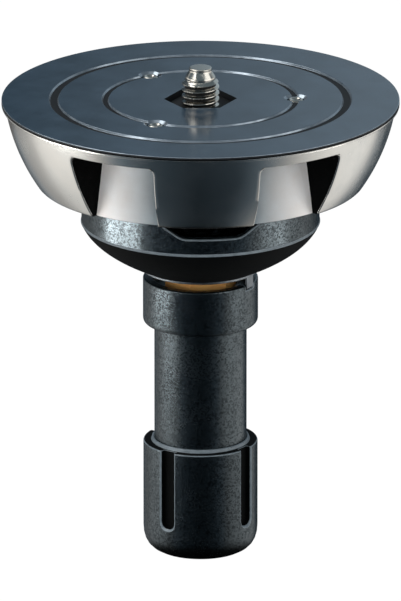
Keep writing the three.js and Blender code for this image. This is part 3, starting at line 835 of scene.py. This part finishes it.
# Knob body. A nylon moulding with a collar whose well holds the nut, a plain shaft and a spigot
# that the grip is pressed on.
knob_bottom, knob_top = (corner.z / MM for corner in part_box("knob_body"))
grip_bottom, grip_top = (corner.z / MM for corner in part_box("grip_sleeve"))
collar_radius, collar_height, well_radius, well_depth = 14.57, 12, 12.4, 2.5
shaft_radius, shaft_bore, spigot = 11.7, 7, 10.4
nut_play, seat_depth, keyway_width, keyway_depth = 0.6, 12.6, 3.8, 1.2
knob = turned("knob_moulding", [
    (shaft_bore, knob_bottom), (spigot, knob_bottom, 0.4), (spigot, grip_top), (shaft_radius, grip_top),
    (shaft_radius, knob_top - collar_height, 0.4), (collar_radius, knob_top - collar_height, 1.3),
    (collar_radius, knob_top, 0.6), (well_radius, knob_top, 0.3), (well_radius, knob_top - well_depth),
    (shaft_bore, knob_top - well_depth),
], sides=192)
seat = upright("nut_seat", hexagon(nut_flats + nut_play, nut_turn), washer_bottom - seat_depth,
               knob_top + overlap)
keyway = block("keyway", well_radius - overlap, collar_radius + overlap, keyway_width,
               knob_top - keyway_depth, knob_top + overlap)
knob = combined(knob, "DIFFERENCE", seat, around(keyway, [tang_angle]))
# Its rounded edges get the rubbed nylon, partly a painted highlight.
knob = edged(knob, 0.35, own_finish=True)

# The same nylon, duller where hands have worn it.
worn_nylon = moulded_nylon("worn_nylon", 2.1, 2.8, 0.12, 4, (0.22, 0.31))
dress(knob, [worn_nylon, rubbed_and_highlit_nylon], "knob", "black_nylon", "knob_body")

# Grip sleeve. A nylon cap pressed over the spigot, with four long slots that fingers or a bar can
# bear on, and a rounded lower end.
grip_radius, grip_rounding, grip_bore = 14.5, 6.4, 10.7
hem_radius, hem_foot_radius, hem_inner, hem_height = 12.3, 12.5, 11.75, 0.8
plug_seat_radius, plug_radius, plug_neck, plug_flange = 7.7, 7.4, 6.4, 1.5
sleeve_floor, floor_bore = knob_bottom - 0.3, 6.7
sleeve = turned("grip_moulding", [
    (plug_seat_radius, grip_bottom), (grip_radius, grip_bottom, grip_rounding),
    (grip_radius, grip_top, 0.5), (hem_foot_radius, grip_top), (hem_radius, grip_top + hem_height, 0.3),
    (hem_inner, grip_top + hem_height), (hem_inner, grip_top), (grip_bore, grip_top),
    (grip_bore, sleeve_floor), (floor_bore, sleeve_floor), (floor_bore, grip_bottom + plug_flange),
    (plug_seat_radius, grip_bottom + plug_flange),
], sides=192)
slot_side, slot_foot, slot_depth = 1.9, grip_top - 20.5, 1.6
slot_lip, lip_depth = 0.9, 0.55
slot_top = grip_top + overlap
slot_outline = [(-slot_side, slot_top), (-slot_side, slot_foot, slot_side),
                (slot_side, slot_foot, slot_side), (slot_side, slot_top)]
lip_side, lip_foot = slot_side + slot_lip, slot_foot - slot_lip
lip_outline = [(-lip_side, slot_top), (-lip_side, lip_foot, lip_side),
               (lip_side, lip_foot, lip_side), (lip_side, slot_top)]
slot = sideways("grip_slot", slot_outline, grip_radius - slot_depth, grip_radius + overlap)
lip = sideways("slot_lip", slot_outline, grip_radius - lip_depth, grip_radius - lip_depth + slot_lip,
               outer_corners=lip_outline)
sleeve = combined(sleeve, "DIFFERENCE", around(slot, evenly(4, 52)), around(lip, evenly(4, 52)))
# Its rounded edges get the rubbed nylon, partly a painted highlight.
sleeve = edged(sleeve, 0.12, own_finish=True)


def in_slot(middle, normal):
    depth = grip_radius - middle.xy.length
    return slot_foot - 1 < middle.z < grip_top - 0.6 and 0.3 < depth < slot_depth + 0.2


def on_slot_lip(middle, normal):
    return slot_foot - 1 < middle.z < grip_top and 0.04 < grip_radius - middle.xy.length <= 0.3


def top_of_grip(middle, normal):
    return normal.z > 0.95 and middle.z > grip_top - 0.2


def on_hem(middle, normal):
    return middle.z > grip_top + 0.2


# Painted shade in the slots and on the grip's top. The lighter rubbed nylon on the slots' lips and the
# hem is partly painted highlight.
for number, chosen in ((2, in_slot), (1, on_slot_lip), (2, top_of_grip), (1, on_hem)):
    finished(sleeve, number, chosen)
dress(sleeve, [worn_nylon, rubbed_and_highlit_nylon, shaded_nylon_skin], "knob", "black_nylon", "grip_sleeve")

# End plug. A nylon disc that snaps into the grip's end and covers the stop on the rod.
plug_top = grip_bottom + 5.5
plug = turned("plug_disc", [
    (0, grip_bottom), (plug_radius, grip_bottom, 0.4), (plug_radius, grip_bottom + plug_flange),
    (plug_neck, grip_bottom + plug_flange), (plug_neck, plug_top, 0.4), (0, plug_top),
], sides=96)
dress(edged(plug, 0), [worn_nylon], "knob", "black_nylon", "end_plug")

# Studio. A white sheet of paper, low enough that the knob clears it when it is screwed right down,
# soft boxes round the part and a weaker glow from the walls. A graded card lies on the paper, which
# the ball and the knob mirror as their bright sides and dark middles, as in the photograph.
room_below = 25
floor_height = (grip_bottom - room_below) * MM


def sheet_of(name, corners, height):
    """A flat sheet of the studio's, with its corners and height in metres."""
    mesh = bpy.data.meshes.new(name)
    mesh.from_pydata([(x, y, height) for x, y in corners], [], [range(len(corners))])
    made = bpy.data.objects.new(name, mesh)
    bpy.context.scene.collection.objects.link(made)
    return made


paper = sheet_of("paper", [(-3, -3), (3, -3), (3, 3), (-3, 3)], floor_height)
white, tree, shader = surface("white_paper", "#f4f4f4", Roughness=0.9)
# It glows for the camera and for mirrors, so that it stays white, but hardly lights the part.
rays = add(tree, "ShaderNodeLightPath")
seen = add(tree, "ShaderNodeMath", {0: rays.outputs["Is Camera Ray"], 1: rays.outputs["Is Glossy Ray"]},
           operation="MAXIMUM")
seen = add(tree, "ShaderNodeMath", {0: seen.outputs[0], 1: rays.outputs["Is Transmission Ray"]},
           operation="MAXIMUM")
share = add(tree, "ShaderNodeMath", {0: seen.outputs[0], 1: 0.93}, operation="MULTIPLY")
glow = add(tree, "ShaderNodeEmission", {"Color": linear("#ffffff"), "Strength": 1.05})
mixed = add(tree, "ShaderNodeMixShader", {
    "Fac": share.outputs[0], 1: shader.outputs[0], 2: glow.outputs[0],
})
tree.links.new(mixed.outputs[0], tree.nodes["Material Output"].inputs["Surface"])
paper.data.materials.append(white)


def graded(tree, direction, stops):
    """Greys that change with the bearing from the axis, between stops of (degrees, grey)."""
    turn = add(tree, "ShaderNodeTexGradient", {"Vector": direction}, gradient_type="RADIAL")
    ramp = add(tree, "ShaderNodeValToRGB", {"Fac": turn.outputs[1]})
    stops = [((bearing + 180) / 360, grey) for bearing, grey in stops]
    elements = ramp.color_ramp.elements
    elements[0].position, elements[1].position = stops[0][0], stops[-1][0]
    for place, _ in stops[1:-1]:
        elements.new(place)
    for element, (_, grey) in zip(elements, stops):
        cool = max(0, 1 - grey / 0.3)
        element.color = (grey, grey * (1 + 0.55 * cool), grey * (1 + 1.1 * cool), 1)
    return ramp.outputs[0]


def mirrored_card(sheet, paint, colour, strength=1):
    """Makes a sheet glow, and shows it to mirrors alone."""
    nodes, links = paint.node_tree.nodes, paint.node_tree.links
    glow = add(paint.node_tree, "ShaderNodeEmission", {"Color": colour, "Strength": strength})
    links.new(glow.outputs[0], nodes["Material Output"].inputs["Surface"])
    sheet.data.materials.append(paint)
    sheet.visible_camera = False
    sheet.visible_shadow = False
    sheet.visible_diffuse = False


def on_circle(radius, degrees):
    """A place on a circle round the axis, at a bearing in degrees."""
    return radius * math.cos(math.radians(degrees)), radius * math.sin(math.radians(degrees))


card_radius, card_sides = 2.5, 64
rim = [on_circle(card_radius, 360 * i / card_sides) for i in range(card_sides)]
card = sheet_of("graded_card", rim, floor_height + 0.0005)
graded_grey, tree, shader = surface("graded_card", "#808080", Roughness=1)
where = add(tree, "ShaderNodeTexCoord").outputs["Object"]
floor_stops = [
    (-180, 1), (-170, 0.9), (-160, 0.6), (-152, 0.3), (-144, 0.17), (-136, 0.09), (-125, 0.04),
    (-95, 0.014), (-68, 0.025), (-56, 0.075), (-48, 0.16), (-40, 0.34), (-28, 0.64), (-12, 0.84),
    (5, 0.95), (24, 1), (34, 0.7), (45, 0.1), (55, 0.03), (108, 0.03), (119, 0.22), (130, 0.36),
    (145, 0.46), (156, 0.88), (180, 1),
]
flat_place = add(tree, "ShaderNodeVectorMath", {0: where, 1: (1, 1, 0)}, operation="MULTIPLY")
distance = add(tree, "ShaderNodeVectorMath", {0: flat_place.outputs[0]}, operation="LENGTH")
# The card is dark close under the part and grows lighter outwards.
level = add(tree, "ShaderNodeFloatCurve", {"Value": distance.outputs["Value"]})
curve = level.mapping.curves[0]
curve.points[0].location, curve.points[1].location = (0, 0), (1, 1)
for place in ((0.03, 0.02), (0.052, 0.55), (0.085, 0.75), (0.145, 0.85), (0.228, 1)):
    curve.points.new(*place)
level.mapping.update()
mirrored_card(card, graded_grey, graded(tree, where, floor_stops), level.outputs[0])


def floor_card(name, azimuth, spread, level, near=0.365, far=0.445):
    """A sector of card on the floor, bright or dark, which the upright black mouldings mirror."""
    edges = [(near, azimuth - spread), (far, azimuth - spread), (far, azimuth),
             (far, azimuth + spread), (near, azimuth + spread), (near, azimuth)]
    sheet = sheet_of(name, [on_circle(*edge) for edge in edges], floor_height + 0.001)
    paint, tree, shader = surface(name, "#ffffff", Roughness=1)
    mirrored_card(sheet, paint, linear("#ffffff"), level)


floor_card("left_bright_card", 188, 20, 15.0)
floor_card("right_bright_card", 342, 14, 3.6)
floor_card("left_dark_card", 130, 30, 0.12)
floor_card("right_dark_card", 26, 28, 0.05)

# A dim blue-grey card stands behind and to the right. The plate mirrors it, lighter to the right.
back_card = sheet_of("back_card", [(-0.4, -0.02), (0.5, -0.02), (0.5, 0.35), (-0.4, 0.35)], 0)
back_card.data.transform(Matrix.Rotation(math.pi / 2, 4, "X"))
back_card.data.transform(Matrix.Translation((0, 0.3, 0)))
dim_blue, tree, shader = surface("back_card", "#5c6a74", Roughness=1)
where = add(tree, "ShaderNodeTexCoord").outputs["Object"]
aside = add(tree, "ShaderNodeSeparateXYZ", {0: where}).outputs[0]
lighter = add(tree, "ShaderNodeMapRange", {"Value": aside, "From Min": -0.05, "From Max": 0.06})
shade = add(tree, "ShaderNodeMix", {
    "Factor": lighter.outputs[0], 6: linear("#3a4650"), 7: linear("#a4b4c0"),
}, data_type="RGBA")
mirrored_card(back_card, dim_blue, shade.outputs[2])

world = bpy.data.worlds.new("studio")
bpy.context.scene.world = world
world.use_nodes = True
tree = world.node_tree
background = tree.nodes["Background"]
rays = add(tree, "ShaderNodeLightPath")
where = add(tree, "ShaderNodeTexCoord").outputs["Generated"]
wall_stops = [
    (-180, 1), (-150, 1), (-132, 0.8), (-118, 0.2), (-100, 0.03), (-72, 0.03), (-60, 0.3),
    (-48, 0.8), (-35, 1), (20, 1), (42, 0.3), (55, 0.12), (112, 0.12), (125, 0.2), (138, 0.4),
    (150, 0.9), (180, 1),
]
height = add(tree, "ShaderNodeSeparateXYZ", {0: where}).outputs[2]
above = add(tree, "ShaderNodeMapRange", {"Value": height, "From Min": 0.12, "From Max": 0.35})
walls = add(tree, "ShaderNodeMix", {
    "Factor": above.outputs[0], 6: graded(tree, where, wall_stops), 7: linear("#5c6a74"),
}, data_type="RGBA")
level = add(tree, "ShaderNodeMix", {
    "Factor": rays.outputs["Is Camera Ray"], 6: walls.outputs[2], 7: linear("#ffffff"),
}, data_type="RGBA")
tree.links.new(level.outputs[2], background.inputs["Color"])


def outward(azimuth, elevation):
    """The direction from the part to something at these two angles, in degrees."""
    a, e = math.radians(azimuth), math.radians(elevation)
    return Vector((math.cos(a) * math.cos(e), math.sin(a) * math.cos(e), math.sin(e)))


def soft_box(name, azimuth, elevation, width, height, radiance, mirrored=True):
    """A rectangular lamp, 1 m from the part, whose power gives it the radiance that is asked for."""
    lamp = bpy.data.lights.new(name, "AREA")
    lamp.shape = "RECTANGLE"
    lamp.size, lamp.size_y = width, height
    lamp.energy = radiance * math.pi * width * height
    made = bpy.data.objects.new(name, lamp)
    made.location = outward(azimuth, elevation)
    made.rotation_euler = made.location.to_track_quat("Z", "Y").to_euler()
    made.visible_camera = False
    made.visible_glossy = mirrored
    bpy.context.scene.collection.objects.link(made)


soft_box("left_soft_box", 178, 52, 1.2, 0.5, 3.0)
soft_box("right_soft_box", 330, 24, 1.0, 0.6, 1.3)
soft_box("low_left_soft_box", 210, 12, 0.5, 0.3, 2.6)
soft_box("front_soft_box", 264, 62, 0.9, 0.35, 1.2)
soft_box("low_front_fill", 264, 6, 1.0, 0.4, 2.4, mirrored=False)

# Camera. Level with the photograph: 17.9 degrees above the horizon and far off, so that the
# plate's ellipse is as narrow and the sides stay as parallel.
camera = bpy.data.cameras.new("camera")
camera.sensor_width = 36
camera.lens = 946.3
eye = bpy.data.objects.new("camera", camera)
bpy.context.scene.collection.objects.link(eye)
camera_distance, middle_height = 4, -0.0603
out = outward(268, 17.9)
eye.location = Vector((0, 0, middle_height)) + out * camera_distance
eye.rotation_euler = out.to_track_quat("Z", "Y").to_euler()
bpy.context.scene.camera = eye
bpy.context.scene.view_settings.view_transform = "Standard"
